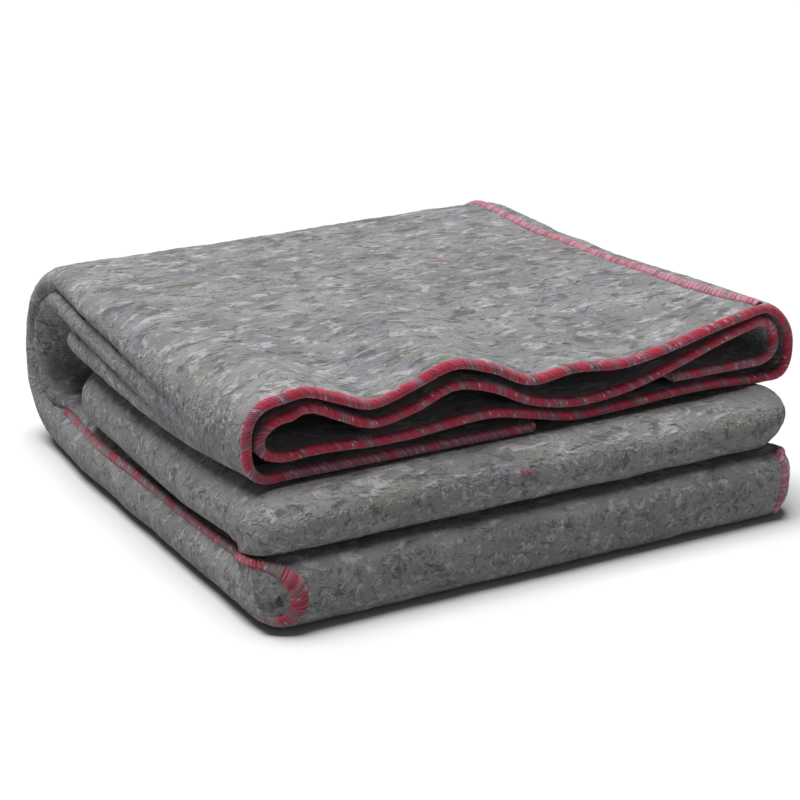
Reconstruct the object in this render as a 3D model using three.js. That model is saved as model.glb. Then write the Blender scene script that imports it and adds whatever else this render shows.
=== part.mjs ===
// A thick felt pet blanket, folded for the shelf. The one sheet is rolled flat into a strip of four
// levels, and the strip is then wrapped into three decks: top, bottom and middle.
// Millimetres, +Z up, +X to the right along the front, +Y to the back, resting on z = 0.
import * as THREE from 'three';

const { lerp, smoothstep } = THREE.MathUtils;

// Driving dimensions
const CLOTH = 6.5; // thickness of the felt
const HALF = CLOTH / 2; // every height below is at mid-cloth
const TOP_DECK = { outer: 143.5, inner: 90.5 }; // heights of the strip's outermost and innermost level
const BOTTOM_DECK = { outer: HALF, inner: 39 };
const MIDDLE_DECK = { outer: 81.5, inner: 48.8 };
const HEM_END = -165; // y of the hemmed end, on the top deck
const BACK_BEND = 172; // y of the centre of the round bend at the back
const FRONT_FOLD = -138; // y where the bottom and middle decks start their front fold
const INNER_FOLD = -148; // y where the inner levels turn up, behind the noses
const TUCKED_END = 150; // y of the other hemmed end, hidden inside the back bend
const WAVE_REACH = 175; // how far behind the hemmed end its waves die out
const HEIGHT_LEAN = 0.026; // the packet is this much taller at the right end and lower at the left
const HALF_WIDTH = 200; // x at which the lean is counted
const FLARE = { from: 60, to: 190, right: 14, left: 4.5 }; // the top deck's hemmed end lies further right
const SAG = { from: -60, to: -190, spread: 2.5, low: 10, high: 75 }; // the left side spreads low down
const BACK_NARROW = { by: 4, from: 90, to: 190 }; // the left side lies further in at the back
// The right edge of the top falls away, and at the hemmed end its turn hangs low
const SHOULDER = { drop: 4.5, from: 110, to: 200, low: 100, high: 140, fullY: 80, endY: 170 };
const RIGHT_HANG = { drop: 6, from: 203, to: 225 };
const MIDDLE_LIFT = { rise: 5, from: 178, to: 208, low: 42, high: 62 }; // the middle deck's right end

// The outermost level's two noses at the front, and the crease between them
const BOTTOM_NOSE_Y = -184;
const MIDDLE_NOSE_Y = -182;
const MIDDLE_SLOPE_Y = -172; // y where the middle deck's top starts to slope down to its nose
const CREASE_Y = -181;
const NOSE_ARC = (160 / 180) * Math.PI; // how far round each nose goes before the crease
const NOSE_SQUARENESS = 0.8; // 1 is an ellipse, less is boxier
// How far the front fold of each level bulges past INNER_FOLD. Level 1 takes the noses instead.
const FOLD_BULGE = [0, 22, 14, 5];

// Heights of the three long runs across the hemmed end, at stations along x
const WAVES = [
  { x: -180, top: 138.5, second: 123, under: 100 },
  { x: -160, top: 140.5, second: 130.5, under: 102 },
  { x: -136, top: 132.5, second: 121.5, under: 101.5 },
  { x: -112, top: 125, second: 112.5, under: 100 },
  { x: -80, top: 133, second: 117.5, under: 100.5 },
  { x: -50, top: 141.5, second: 127.5, under: 103 },
  { x: -20, top: 134, second: 121, under: 104 },
  { x: 8, top: 121.5, second: 108, under: 98.5 },
  { x: 42, top: 124.5, second: 101, under: 91.5 },
  { x: 82, top: 121.5, second: 103.5, under: 92 },
  { x: 120, top: 127, second: 112.5, under: 94 },
  { x: 160, top: 136, second: 125, under: 94.5 },
  { x: 198, top: 143, second: 135, under: 92 },
];
const FLAP_HEIGHT = 89; // the short run under the left half, at the hemmed end
const TAIL_HEIGHT = 105; // the short run inside the right half, at the hemmed end
const STEP_DOWN = { from: -5, to: 48 }; // the under run drops from level 3 to level 4 past the flap

// Where the runs turn, at mid-cloth: x of the turn's ends, how far it bulges sideways, the share of its
// height that it bulges at most, and its squareness, where 1 is an ellipse and less is boxier
const LEFT_TURN = { x: -180, bulge: -22, roundest: 0.6, squareness: 0.75, steps: 10 };
const RIGHT_TURN = { x: 198, bulge: 27, roundest: 0.55, squareness: 0.82, steps: 7 };
const INNER_LEFT_TURN = { x: -172, bulge: -18, roundest: 0.55, squareness: 0.95, steps: 5 };
const INNER_RIGHT_TURN = { x: 195, bulge: 18, roundest: 0.55, squareness: 0.85, steps: 5 };
const INNER_REACH = { out: 7, fade: 60 }; // the inner left turn reaches further out behind the hemmed end
const CORNER_SQUEEZE = 0.7; // the felt is this much thinner where a turn goes round the front fold

// Soft creases along the left side: share of the way from the outermost level to the innermost, at the
// hemmed end, where the back bend starts and where it ends
const SIDE_CREASES = [
  { front: 0.5, back: 0.25, under: 0.85, depth: 8, spread: 0.1 },
  { front: 0.8, back: 0.56, under: 1.15, depth: 6, spread: 0.1 },
];
const CREASES_ALONG = { end: -120, full: 65, underEnd: 40 }; // y where they fade out or are at full depth
// The left side's inner part is drawn in at the back bend: how far, the share of the side at which that
// starts where the bend starts and where it ends, the share of the side over which it grows, the stretch of
// y over which it grows on the top deck, and the share of the bend after which it is let out again
const DRAWN_IN = {
  depth: 38, back: 0.48, under: 1, spread: 0.2, fromY: 132, toY: 163, letOut: 0.4, fadeX: -20,
};
const TUCK = { depth: 30, fromY: 105 }; // the middle deck's left side is drawn in at its tucked end
// The left side droops: how far, over which stretch of x, where along y it droops most, and from which height
const DROOP = { drop: 9, fromX: -172, toX: -203, back: 150, most: -70, front: -220, high: 60 };

// Stations across the sheet, in the order in which it is rolled
const FLAP_STOPS = [10, -45, -95, -140, LEFT_TURN.x];
const TOP_STOPS = [-160, -136, -112, -96, -80, -65, -50, -20, 8, 45, 85, 125, 162, RIGHT_TURN.x];
const UNDER_STOPS = [155, 105, 60, 40, 22, 5, -25, -80, -130, INNER_LEFT_TURN.x];
const SECOND_STOPS = [-160, -136, -112, -96, -80, -65, -50, -20, 8, 42, 82, 122, 160, INNER_RIGHT_TURN.x];
const TAIL_STOPS = [162, 126];

// Stations along the strip
const TOP_DECK_STOPS = [HEM_END, -145, -115, -75, -25, 40, 105, 134, 150, BACK_BEND];
const BEND_STEPS = 8;
const BOTTOM_DECK_STOPS = [BACK_BEND, 145, 40, FRONT_FOLD];
const NOSE_STEPS = 7;
const MIDDLE_DECK_STOPS = [FRONT_FOLD, TUCK.fromY, TUCKED_END];

// Height of a level on a deck. Levels run from 1, outermost, to 4.
function deckHeight(deck, level) {
  return lerp(deck.outer, deck.inner, (level - 1) / 3);
}

// 1 at the hemmed end, fading to 0 where the waves have died out
function frontness(y) {
  return 1 - smoothstep(y, HEM_END, HEM_END + WAVE_REACH);
}

// Cubic through the rows of WAVES
function waveHeight(run, x) {
  const last = WAVES.length - 1;
  const found = WAVES.findIndex((row) => row.x >= x);
  const hi = Math.min(Math.max(found < 0 ? last : found, 1), last);
  const lo = hi - 1;
  const slope = (i) => {
    const a = WAVES[Math.max(i - 1, 0)];
    const b = WAVES[Math.min(i + 1, last)];
    return (b[run] - a[run]) / (b.x - a.x);
  };
  const span = WAVES[hi].x - WAVES[lo].x;
  const t = (x - WAVES[lo].x) / span;
  const rise = WAVES[hi][run] - WAVES[lo][run];
  const bend = t * (1 - t) * ((1 - t) * (slope(lo) * span - rise) - t * (slope(hi) * span - rise));
  return WAVES[lo][run] + rise * t + bend;
}

// The runs across the sheet: the level each lies on, and its height at the hemmed end
const RUNS = {
  flap: { level: () => 4, wave: () => FLAP_HEIGHT },
  top: { level: () => 1, wave: (x) => waveHeight('top', x) },
  under: {
    level: (x) => 3 + smoothstep(x, STEP_DOWN.from, STEP_DOWN.to),
    wave: (x) => waveHeight('under', x),
  },
  second: { level: () => 2, wave: (x) => waveHeight('second', x) },
  tail: { level: () => 3, wave: () => TAIL_HEIGHT },
};

// Sine and cosine of an angle from 0 to a half turn, made boxier by a power under 1
function boxed(angle, squareness) {
  const cosine = Math.cos(angle);
  return {
    sine: Math.max(Math.sin(angle), 0) ** squareness,
    cosine: Math.sign(cosine) * Math.abs(cosine) ** squareness,
  };
}

// A point of a half turn upwards from one height to another, bulging by a given reach before y
function halfTurn(y, low, high, reach, angle, squareness = 1) {
  const { sine, cosine } = boxed(angle, squareness);
  return { y: y - reach * sine, z: lerp(low, high, (1 - cosine) / 2) };
}

// Front fold of the outermost level: a nose, a crease and a second nose with a sloping top
function nosePath() {
  const arc = Array.from({ length: NOSE_STEPS + 1 }, (_, i) => (NOSE_ARC * i) / NOSE_STEPS);
  const nose = (y, low, high) => (angle) => halfTurn(y, low, high, (high - low) / 2, angle, NOSE_SQUARENESS);
  const bottom = nose(BOTTOM_NOSE_Y, BOTTOM_DECK.outer, BOTTOM_DECK.inner);
  const under = nose(MIDDLE_NOSE_Y, MIDDLE_DECK.inner, MIDDLE_DECK.outer);
  const slope = MIDDLE_SLOPE_Y - MIDDLE_NOSE_Y + (MIDDLE_DECK.outer - MIDDLE_DECK.inner) / 2;
  const middle = (angle) => (angle < Math.PI / 2 ? under(angle)
    : halfTurn(MIDDLE_SLOPE_Y, MIDDLE_DECK.inner, MIDDLE_DECK.outer, slope, angle));
  const crease = { y: CREASE_Y, z: (BOTTOM_DECK.inner + MIDDLE_DECK.inner) / 2 };
  return [...arc.map(bottom), crease, ...arc.reverse().map((angle) => middle(Math.PI - angle))];
}

// Front fold of an inner level: one half turn behind the noses
function innerPath(level) {
  const low = deckHeight(BOTTOM_DECK, level);
  const high = deckHeight(MIDDLE_DECK, level);
  const steps = 2 * (NOSE_STEPS + 1);
  return Array.from({ length: steps + 1 }, (_, i) =>
    halfTurn(INNER_FOLD, low, high, FOLD_BULGE[level - 1], (Math.PI * i) / steps));
}

// Stations along the strip: each gives the y and z of a whole-numbered level
function stripStations() {
  const flat = (deck, name) => (y) => ({ name, at: (level) => ({ y, z: deckHeight(deck, level) }) });
  const bend = Array.from({ length: BEND_STEPS - 1 }, (_, i) => {
    const angle = (Math.PI * (i + 1)) / BEND_STEPS;
    return {
      name: 'bend',
      share: angle / Math.PI,
      at: (level) => {
        const high = deckHeight(TOP_DECK, level);
        const low = deckHeight(BOTTOM_DECK, level);
        const radius = (high - low) / 2;
        return { y: BACK_BEND + radius * Math.sin(angle), z: low + radius * (1 + Math.cos(angle)) };
      },
    };
  });
  const paths = [nosePath(), ...[2, 3, 4].map(innerPath)];
  const fold = paths[0].map((_, i) => ({
    name: 'fold',
    squeeze: CORNER_SQUEEZE * Math.sin((Math.PI * (i + 1)) / (paths[0].length + 1)),
    at: (level) => paths[level - 1][i],
  }));
  return [
    ...TOP_DECK_STOPS.map(flat(TOP_DECK, 'top')),
    ...bend,
    ...BOTTOM_DECK_STOPS.map(flat(BOTTOM_DECK, 'bottom')),
    ...fold,
    ...MIDDLE_DECK_STOPS.map(flat(MIDDLE_DECK, 'middle')),
  ];
}

// How far the left side's inner part is drawn in at a station
function drawnIn(station, y) {
  if (station.name === 'bend') return DRAWN_IN.depth * (1 - smoothstep(station.share, DRAWN_IN.letOut, 1));
  if (station.name === 'middle') return TUCK.depth * smoothstep(y, TUCK.fromY, TUCKED_END);
  return station.name === 'top' ? DRAWN_IN.depth * smoothstep(y, DRAWN_IN.fromY, DRAWN_IN.toY) : 0;
}

// Mid-cloth point of a run at x on a strip station
function runPoint(run, x, station) {
  const level = RUNS[run].level(x);
  const lower = Math.floor(level);
  const share = level - lower;
  const a = station.at(lower);
  const b = station.at(Math.min(lower + 1, 4));
  const y = lerp(a.y, b.y, share);
  const flatZ = lerp(a.z, b.z, share);
  const front = frontness(y);
  const stays = run === 'top' && station.name !== 'middle';
  const inside = stays ? 0 : 1 - smoothstep(x, LEFT_TURN.x, DRAWN_IN.fadeX);
  const shifted = x + inside * drawnIn(station, y);
  const leaned = HALF + (flatZ - HALF) * (1 + HEIGHT_LEAN * (x / HALF_WIDTH));
  const z = station.name === 'top' ? lerp(leaned, RUNS[run].wave(x), front) : leaned;
  return new THREE.Vector3(shifted, y, z);
}

// How strongly the left side is creased at a station, from 0 to 1
function creaseStrength(station, y) {
  if (station.name === 'bend') return 1;
  if (station.name === 'top') return smoothstep(y, CREASES_ALONG.end, CREASES_ALONG.full);
  if (station.name === 'bottom') return smoothstep(y, CREASES_ALONG.underEnd, BACK_BEND);
  return 0;
}

// How far round the back bend a station is, from 0 on the top deck to 1 on those below
function roundBend(station) {
  return station.name === 'top' ? 0 : station.share ?? 1;
}

// Inward push of the left side, at a share of the way from the outermost level to the innermost
function leftSidePush(station, y, share) {
  const forward = THREE.MathUtils.clamp((BACK_BEND - y) / (BACK_BEND - HEM_END), 0, 1);
  const travel = station.name === 'top' ? forward : 0;
  const round = roundBend(station);
  const start = lerp(DRAWN_IN.back, DRAWN_IN.under, round);
  const held = station.name === 'middle' ? 1 : smoothstep(share, start, start + DRAWN_IN.spread);
  return SIDE_CREASES.reduce((push, { front, back, under, depth, spread }) => {
    const off = (share - lerp(lerp(back, under, round), front, travel)) / spread;
    return push + depth * creaseStrength(station, y) * Math.exp(-off * off);
  }, held * drawnIn(station, y));
}

// Mid-cloth points of a turn from one run to the next, without its ends
function turnPoints(turn, fromRun, toRun, station) {
  const from = runPoint(fromRun, turn.x, station);
  const to = runPoint(toRun, turn.x, station);
  const height = Math.hypot(to.y - from.y, to.z - from.z);
  const hemmed = turn === INNER_LEFT_TURN && station.name === 'top';
  const further = hemmed ? 1 - smoothstep(from.y, HEM_END, HEM_END + INNER_REACH.fade) : 0;
  const rounded = Math.min(Math.abs(turn.bulge), turn.roundest * height);
  const bulge = Math.sign(turn.bulge) * (rounded + INNER_REACH.out * further);
  return Array.from({ length: turn.steps - 1 }, (_, i) => {
    const angle = (Math.PI * (i + 1)) / turn.steps;
    const { sine, cosine } = boxed(angle, turn.squareness);
    const along = (1 - cosine) / 2;
    const point = from.clone().lerp(to, along);
    if (turn === LEFT_TURN) point.x = turn.x + leftSidePush(station, point.y, 1 - along);
    point.x += bulge * sine;
    return { point, half: HALF * (1 - (station.squeeze ?? 0) * Math.sin(angle)) };
  });
}

// The top deck lies further right at its hemmed end and falls away to the right; the left side droops
function settle(point, station) {
  const wide = station.name === 'top' ? frontness(point.y) : 0;
  const low = 1 - smoothstep(point.z, SAG.low, SAG.high);
  point.x -= SAG.spread * smoothstep(-point.x, -SAG.from, -SAG.to) * low;
  point.x -= FLARE.right * smoothstep(point.x, FLARE.from, FLARE.to) * (1 - wide);
  const narrower = BACK_NARROW.by * smoothstep(point.y, BACK_NARROW.from, BACK_NARROW.to);
  point.x += (FLARE.left * wide + narrower) * smoothstep(-point.x, FLARE.from, FLARE.to);
  const shoulder = smoothstep(point.x, SHOULDER.from, SHOULDER.to) * (1 - wide)
    * (1 - smoothstep(point.y, SHOULDER.fullY, SHOULDER.endY));
  point.z -= SHOULDER.drop * shoulder * smoothstep(point.z, SHOULDER.low, SHOULDER.high);
  point.z -= RIGHT_HANG.drop * smoothstep(point.x, RIGHT_HANG.from, RIGHT_HANG.to) * wide;
  const lift = ['fold', 'middle'].includes(station.name) ? MIDDLE_LIFT.rise : 0;
  point.z += lift * smoothstep(point.x, MIDDLE_LIFT.from, MIDDLE_LIFT.to)
    * smoothstep(point.z, MIDDLE_LIFT.low, MIDDLE_LIFT.high);
  const droop = DROOP.drop * smoothstep(point.y, DROOP.front, DROOP.most)
    * (1 - smoothstep(point.y, DROOP.most, DROOP.back)) * smoothstep(point.z, HALF, DROOP.high);
  point.z -= droop * smoothstep(-point.x, -DROOP.fromX, -DROOP.toX);
  return point;
}

// One row right across the sheet at a strip station: mid-cloth points and half the cloth's thickness
function sheetRow(station) {
  const run = (name, stops) => stops.map((x) => ({ point: runPoint(name, x, station), half: HALF }));
  return [
    ...run('flap', FLAP_STOPS),
    ...turnPoints(LEFT_TURN, 'flap', 'top', station),
    ...run('top', [LEFT_TURN.x, ...TOP_STOPS]),
    ...turnPoints(RIGHT_TURN, 'top', 'under', station),
    ...run('under', [RIGHT_TURN.x, ...UNDER_STOPS]),
    ...turnPoints(INNER_LEFT_TURN, 'under', 'second', station),
    ...run('second', [INNER_LEFT_TURN.x, ...SECOND_STOPS]),
    ...turnPoints(INNER_RIGHT_TURN, 'second', 'tail', station),
    ...run('tail', [INNER_RIGHT_TURN.x, ...TAIL_STOPS]),
  ].map(({ point, half }) => ({ point: settle(point, station), half }));
}

// Unit normal of the mid-cloth grid, towards the outside of the packet on the top run
function gridNormal(rows, r, c) {
  const before = (i) => Math.max(i - 1, 0);
  const after = (i, count) => Math.min(i + 1, count - 1);
  const across = rows[r][after(c, rows[r].length)].point.clone().sub(rows[r][before(c)].point);
  const along = rows[after(r, rows.length)][c].point.clone().sub(rows[before(r)][c].point);
  return across.cross(along).normalize();
}

// Closed solid of the sheet: two faces half a cloth either side of the grid, joined round the rim
function sheetGeometry(rows) {
  const rowCount = rows.length;
  const colCount = rows[0].length;
  const faceSize = rowCount * colCount;
  const positions = [];
  for (const side of [1, -1]) {
    rows.forEach((row, r) => row.forEach(({ point, half }, c) => {
      positions.push(...gridNormal(rows, r, c).multiplyScalar(side * half).add(point).toArray());
    }));
  }
  const outer = (r, c) => r * colCount + c;
  const inner = (r, c) => faceSize + outer(r, c);
  const lastRow = rowCount - 1;
  const lastCol = colCount - 1;
  const index = [];
  const quad = (a, b, c, d) => index.push(a, b, c, a, c, d);
  for (let r = 0; r < lastRow; r += 1) {
    for (let c = 0; c < lastCol; c += 1) {
      quad(outer(r, c), outer(r, c + 1), outer(r + 1, c + 1), outer(r + 1, c));
      quad(inner(r, c), inner(r + 1, c), inner(r + 1, c + 1), inner(r, c + 1));
    }
    quad(outer(r, 0), outer(r + 1, 0), inner(r + 1, 0), inner(r, 0));
    quad(outer(r + 1, lastCol), outer(r, lastCol), inner(r, lastCol), inner(r + 1, lastCol));
  }
  for (let c = 0; c < lastCol; c += 1) {
    quad(outer(0, c + 1), outer(0, c), inner(0, c), inner(0, c + 1));
    quad(outer(lastRow, c), outer(lastRow, c + 1), inner(lastRow, c + 1), inner(lastRow, c));
  }
  const geometry = new THREE.BufferGeometry();
  geometry.setAttribute('position', new THREE.Float32BufferAttribute(positions, 3));
  geometry.setIndex(index);
  geometry.computeVertexNormals();
  return geometry;
}

const felt = new THREE.MeshStandardMaterial({ color: 0x8a888a, roughness: 0.95, metalness: 0 });
const blanket = new THREE.Mesh(sheetGeometry(stripStations().map(sheetRow)), felt);
blanket.name = 'blanket';

const part = new THREE.Group();
part.add(blanket);

export default part;
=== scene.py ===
# A grey felt pet blanket with red overlocked edges, rolled flat and folded into a three-deck packet.
import math
import random

import bpy
import numpy as np
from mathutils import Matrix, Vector, noise


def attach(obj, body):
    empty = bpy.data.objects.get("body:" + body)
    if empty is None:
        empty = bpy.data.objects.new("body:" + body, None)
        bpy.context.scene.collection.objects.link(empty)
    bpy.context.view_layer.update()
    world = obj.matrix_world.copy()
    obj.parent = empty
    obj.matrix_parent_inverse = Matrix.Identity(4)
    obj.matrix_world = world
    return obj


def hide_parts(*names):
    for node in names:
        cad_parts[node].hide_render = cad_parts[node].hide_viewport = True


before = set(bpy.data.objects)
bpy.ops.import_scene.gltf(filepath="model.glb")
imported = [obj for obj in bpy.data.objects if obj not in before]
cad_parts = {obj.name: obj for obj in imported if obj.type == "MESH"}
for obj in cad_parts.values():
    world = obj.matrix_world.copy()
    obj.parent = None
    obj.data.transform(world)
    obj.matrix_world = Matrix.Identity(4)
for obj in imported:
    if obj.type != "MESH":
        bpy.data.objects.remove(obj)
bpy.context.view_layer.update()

# Sizes are in millimetres, in the part's own frame, where no other unit is named. Those of the folds, down
# to the left side's droop, are the solid's own.
MM = 0.001
CLOTH = 6.5
HALF = CLOTH / 2
LEVELS = 4
TOP_DECK = (143.5, 90.5)  # mid-cloth heights of the outermost and innermost level
BOTTOM_DECK = (HALF, 39)
MIDDLE_DECK = (81.5, 48.8)
FLAT_DECKS = {"top": TOP_DECK, "bottom": BOTTOM_DECK, "middle": MIDDLE_DECK}
HEM_END = -165  # y of the hemmed end, on the top deck
BACK_BEND = 172  # y of the centre of the round bend at the back
FRONT_FOLD = -138  # y where the bottom and middle decks start their front fold
INNER_FOLD = -148  # y where the inner levels turn up, behind the noses
TUCKED_END = 150  # y of the other hemmed end, inside the back bend
WAVE_REACH = 175  # how far behind the hemmed end its waves die out
HEIGHT_LEAN = 0.026  # the packet is this much taller at the right end and lower at the left
HALF_WIDTH = 200
# The hemmed end lies further right than the rest, and the left side further in at the back
FLARE = dict(low=60, high=190, right=14, left=4.5)
BACK_NARROW = dict(by=4, low=90, high=190)
# The left side spreads low down, and the right edge of the top falls away
SAG = dict(low=60, high=190, spread=2.5, from_z=10, to_z=75)
SHOULDER = dict(drop=4.5, low=110, high=200, from_z=100, to_z=140, full_y=80, end_y=170)
# The right turn of the hemmed end hangs low, and the right end of the middle deck is lifted
RIGHT_HANG = dict(drop=6, low=203, high=225)
MIDDLE_LIFT = dict(rise=5, low=178, high=208, from_z=42, to_z=62)
# The outermost level's two noses at the front, the crease between them, and the inner levels' folds
BOTTOM_NOSE_Y = -184
MIDDLE_NOSE_Y = -182
MIDDLE_SLOPE_Y = -172
CREASE_Y = -181
NOSE_ARC = math.radians(160)  # how far round each nose goes before the crease
FOLD_STEPS = 16  # steps of the solid's front fold
NOSE_SHARE = 7 / FOLD_STEPS  # share of the front fold that each nose takes
FOLD_BULGE = {2: 22, 3: 14, 4: 5}

# Heights of the three long runs across the hemmed end
WAVES = [
    dict(x=-180, top=138.5, second=123, under=100),
    dict(x=-160, top=140.5, second=130.5, under=102),
    dict(x=-136, top=132.5, second=121.5, under=101.5),
    dict(x=-112, top=125, second=112.5, under=100),
    dict(x=-80, top=133, second=117.5, under=100.5),
    dict(x=-50, top=141.5, second=127.5, under=103),
    dict(x=-20, top=134, second=121, under=104),
    dict(x=8, top=121.5, second=108, under=98.5),
    dict(x=42, top=124.5, second=101, under=91.5),
    dict(x=82, top=121.5, second=103.5, under=92),
    dict(x=120, top=127, second=112.5, under=94),
    dict(x=160, top=136, second=125, under=94.5),
    dict(x=198, top=143, second=135, under=92),
]
# The runs' levels. The under run steps down one level past the flap.
RUN_LEVELS = {"flap": 4, "top": 1, "under": 3, "second": 2, "tail": 3}
STEP_DOWN = dict(low=-5, high=48)
FLAP_HEIGHT = 89
TAIL_HEIGHT = 105
FLAP_END = 10  # x of the ends of the flap and the tail
TAIL_END = 126

# Turns between the runs: x of their ends, how far they bulge sideways, the share of their height that
# they bulge at most, and their squareness, where 1 is an ellipse and less is boxier
LEFT_TURN = dict(x=-180, bulge=-22, roundest=0.6, squareness=0.75, runs=("flap", "top"))
RIGHT_TURN = dict(x=198, bulge=27, roundest=0.55, squareness=0.82, runs=("top", "under"))
INNER_LEFT_TURN = dict(x=-172, bulge=-18, roundest=0.55, squareness=0.95, runs=("under", "second"))
INNER_RIGHT_TURN = dict(x=195, bulge=18, roundest=0.55, squareness=0.85, runs=("second", "tail"))
INNER_REACH = dict(out=7, fade=60)  # the inner left turn reaches further out at the hemmed end
CORNER_SQUEEZE = 0.7  # the felt is squeezed this much thinner at the corners of the front fold

# Soft creases along the left side, and how far its inner part is drawn in at the back
SIDE_CREASES = [
    dict(front=0.5, back=0.25, under=0.85, depth=8, spread=0.1),
    dict(front=0.8, back=0.56, under=1.15, depth=6, spread=0.1),
]
CREASE_FADE = dict(top=(HEM_END + 45, HEM_END + 230), bottom=(40, BACK_BEND))  # from none to full, in y
DRAWN_IN = dict(
    depth=38, back=0.48, under=1.0, spread=0.2, from_y=132, to_y=163, bend=(0.4, 1), fade_x=-20,
)
TUCK = dict(depth=30, from_y=105)
WHOLE_SIDE = -1  # below any place on the side, so all of it is drawn in
# The left side droops along its middle
DROOP = dict(drop=9, from_x=172, to_x=203, back=150, most=-70, front=-220, high=60)

# The crease between the two noses is pressed deeper than in the solid, and its felt is thinner
CREASE_PRESS = dict(depth=6, pinch=0.6, fade=30)
# The lower nose is taller than in the solid, and boxier, and the upper one is rounder, rests on it and
# lies further back
NOSE_MEET = dict(lower=4.4, upper=0.6, squareness=0.65, back=4)
# Hollow in the end of the rolled edge at the front left, inside the curl of its stitches
CURL_HOLLOW = dict(at=(-197, -201, 21), into=(9, 9, 2), radius=6)

# Felt surface
LUMPS = [dict(size=34, height=0.9), dict(size=13, height=0.45)]
RIM_STEPS = 4

# Steps of the sheet's grid across its runs and turns, and along its decks, bend and noses
RUN_STEPS = dict(flap=14, top=58, under=36, second=44, tail=6)
OUTER_TURN_STEPS = dict(left=28, right=20)
INNER_TURN_STEPS = 12
DECK_STEPS = dict(hem=6, top=40, bend=28, bottom=22, nose=20, middle=14)
FINE_REACH = 20  # the steps along the cloth are finer up to this far behind the hemmed end
CREASE_STOPS = (0.47, 0.5, 0.53)  # places on the front fold

# Overlock yarn: strands wrapped round the edges, and the same strands in bands along the packet's sides
YARN_RADIUS = 0.75
YARN_SIDES = 6
STRAND_PITCH = 1.3
STRAND_JITTER = 0.35
EDGE_THIN = 0.16  # the cloth is this much thinner at its edges
THIN_REACH = 10
WRAP_BITE = 0.1  # the wraps' centre lines lie this far inside the felt's face
EDGE_REACH = HALF * (1 - EDGE_THIN) - WRAP_BITE
WRAP_DEPTH = 3.8
WRAP_SINK = 1.4
WRAP_SLANT = 9.0
WRAP_STEPS = 6
BAND_SINK = 0.9
BAND_SLANT = 3.5
BAND_STEPS = 7
YARN_SEED = 6

# Colours of the yarn, which runs red for a stretch and then dusty, with pale flecks
STRETCH_STARTS = 100  # a seam's stretches start at a random place up to this
STRETCH_RAGGED = 0.12
STRETCH_SOFT = 0.14
REDS = [(0.39, 0.017, 0.048), (0.325, 0.014, 0.04), (0.42, 0.028, 0.064)]
SOFT_REDS = [(0.33, 0.035, 0.065), (0.28, 0.03, 0.056), (0.36, 0.07, 0.1)]
PINKS = [(0.43, 0.16, 0.21), (0.4, 0.11, 0.16), (0.46, 0.24, 0.29)]
DUSTY = [(0.24, 0.072, 0.103), (0.31, 0.12, 0.158), (0.185, 0.06, 0.083)]
PALE_DUSTY = [(0.3, 0.12, 0.155), (0.26, 0.11, 0.14), (0.34, 0.19, 0.22)]
GREYED = [(0.2, 0.11, 0.125), (0.17, 0.14, 0.145), (0.24, 0.16, 0.17)]
FLECK = (0.42, 0.34, 0.36)
FLECK_SHARE = 0.22
# An edge's yarn is painted duller and darker near its start and its end, as shade: fully up to the first
# length, and not past the second
# On the front hem these stretches are the flap and the tail, which lie inside the roll, in shade
EDGE_END_SHADE = dict(by=0.3, start=(150, 215), end=(60, 100))
EDGE_LOOK = dict(bright=REDS, dull=DUSTY, dull_below=-0.07, stretch=10, end_shade=EDGE_END_SHADE)
LEFT_LOOK = dict(bright=SOFT_REDS, dull=GREYED, dull_below=0.0, stretch=14, rise=1.6)
RIGHT_LOOK = dict(bright=PINKS, dull=PALE_DUSTY, dull_below=-0.05, stretch=9, rise=1.8)

# Wool fibres lying on the felt, and a few stray ends of yarn caught in it
FIBRE_COUNT = 13600
FIBRE_RADIUS = 0.24
FIBRE_POINTS = 3
FIBRE_SIDES = 3
FIBRE_LENGTHS = dict(front=(2.5, 7), rest=(4, 11))
FIBRE_BEND = 0.13  # usual curvature, in radians to the millimetre
FRONT_FIBRES = 3  # times as many on the front fold
FIBRE_TURN = 0.6  # usual turn away from x, in radians
FIBRE_SINK = 0.25
FIBRE_TINTS = [
    (0.38, 0.37, 0.38), (0.31, 0.305, 0.31), (0.24, 0.235, 0.24), (0.15, 0.146, 0.15), (0.1, 0.097, 0.102),
    (0.24, 0.215, 0.265), (0.23, 0.225, 0.175), (0.17, 0.215, 0.195),
]
STRAYS = [
    dict(deck="fold", place=0.8, run="top", at=-14, count=9),
    dict(deck="top", place=42, run="top", at=59, count=5),
]
STRAY_SCATTER = 0.35  # in steps of the sheet's grid
STRAY_LENGTHS = (3, 7)
FIBRE_SEED = 11

# Looks of the felt, yarn and floor, with lengths in metres. Noise has a scale in marks to the metre, a
# shift that sets it apart, and edges, the values between which a mark fades in.
GRAIN = (0.55, 1.0, 1.0)  # marks on flat felt are drawn out along x
FINER = 1.5  # marks on upright felt are this much finer
UPRIGHT_TO_FLAT = (0.3, 0.8)  # z of the normal where felt counts as upright, and as flat
CLOUDS = dict(scale=30, edge=(0.35, 0.65), dark=(0.156, 0.152, 0.157, 1), pale=(0.215, 0.211, 0.215, 1))
FELT_TINTS = {
    "violet": dict(colour=(0.17, 0.15, 0.192, 1), shift=7.7),
    "olive": dict(colour=(0.178, 0.174, 0.13, 1), shift=11.3),
    "green": dict(colour=(0.126, 0.166, 0.148, 1), shift=17.9),
}
TINT_PATCH = dict(scale=50, edge=(0.54, 0.7), depth=0.5)
TUFT_LOOKS = {
    "dark": dict(colour=(0.056, 0.054, 0.058, 1), scale=95, shift=3.1, depth=0.7),
    "pale": dict(colour=(0.38, 0.372, 0.38, 1), scale=105, shift=5.3, depth=0.65),
}
TUFT_EDGE = (0.48, 0.7)
FLAT_TUFTS = dict(detail=2.5, roughness=0.6, distortion=0.4, grain=GRAIN)
STANDING_TUFTS = dict(detail=2.5, roughness=0.6, distortion=0.9)
FUZZ = dict(colour=(0.09, 0.088, 0.092, 1), scale=420, shift=41.0, edge=(0.4, 0.65), depth=0.3)
FELT_BUMP = dict(strength=0.7, distance=0.0015)
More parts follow.
